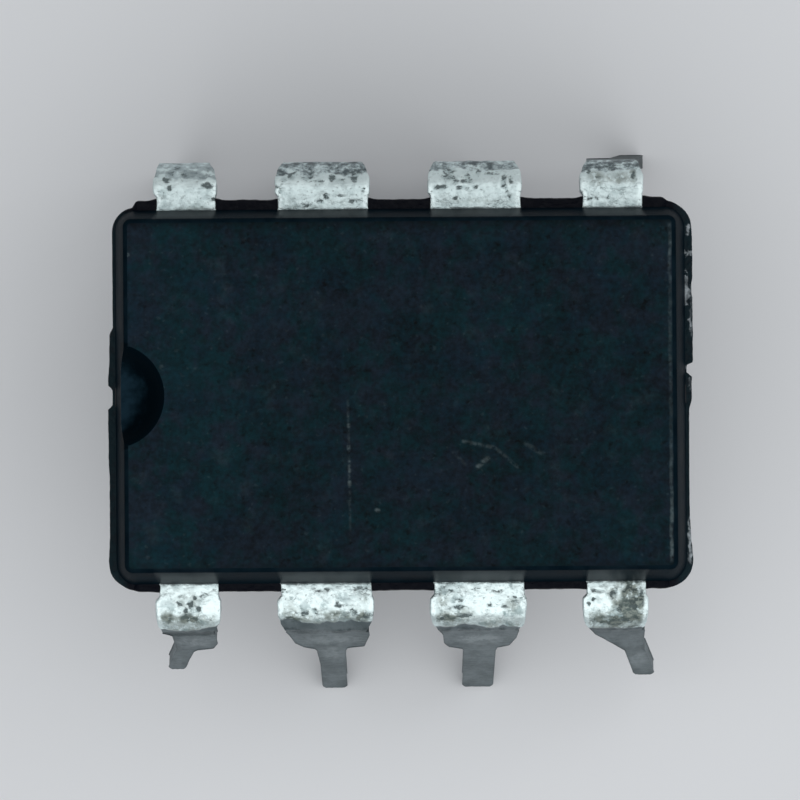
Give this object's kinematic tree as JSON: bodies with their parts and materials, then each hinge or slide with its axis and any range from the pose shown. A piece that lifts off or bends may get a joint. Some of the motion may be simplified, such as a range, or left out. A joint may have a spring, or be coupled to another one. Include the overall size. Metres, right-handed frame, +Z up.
{
  "type": "dip integrated circuit",
  "caption": "Small black moulded integrated circuit in a dual-in-line package, with a half-moon notch at one end and used tinned leads, one row of them splayed outwards.",
  "frame": {"origin": "middle of the lead pattern, at the height of the board's surface", "axes": "+X along the body away from the notch, +Y across the body towards the row of leads 5 to 8, +Z up, out of the top face"},
  "size_m": [0.0098, 0.0094, 0.007],
  "materials": {
    "epoxy": "matte moulded epoxy, lightly worn",
    "tinned_metal": "tin plate with solder left on it",
    "copper_alloy": "bare copper alloy",
    "adhesive": "filled adhesive",
    "silicon": "polished silicon",
    "wire_metal": "bright yellow wire"
  },
  "bodies": {
    "root": {"moulded_body": "epoxy", "lead_1": "tinned_metal", "lead_2": "tinned_metal", "lead_3": "tinned_metal", "lead_4": "tinned_metal", "lead_5": "tinned_metal", "lead_6": "tinned_metal", "lead_7": "tinned_metal", "lead_8": "tinned_metal", "die_pad": "copper_alloy", "die_attach": "adhesive", "die": "silicon", "bond_wire_1": "wire_metal", "bond_wire_2": "wire_metal", "bond_wire_3": "wire_metal", "bond_wire_4": "wire_metal", "bond_wire_5": "wire_metal", "bond_wire_6": "wire_metal", "bond_wire_7": "wire_metal", "bond_wire_8": "wire_metal"}
  },
  "joints": []
}
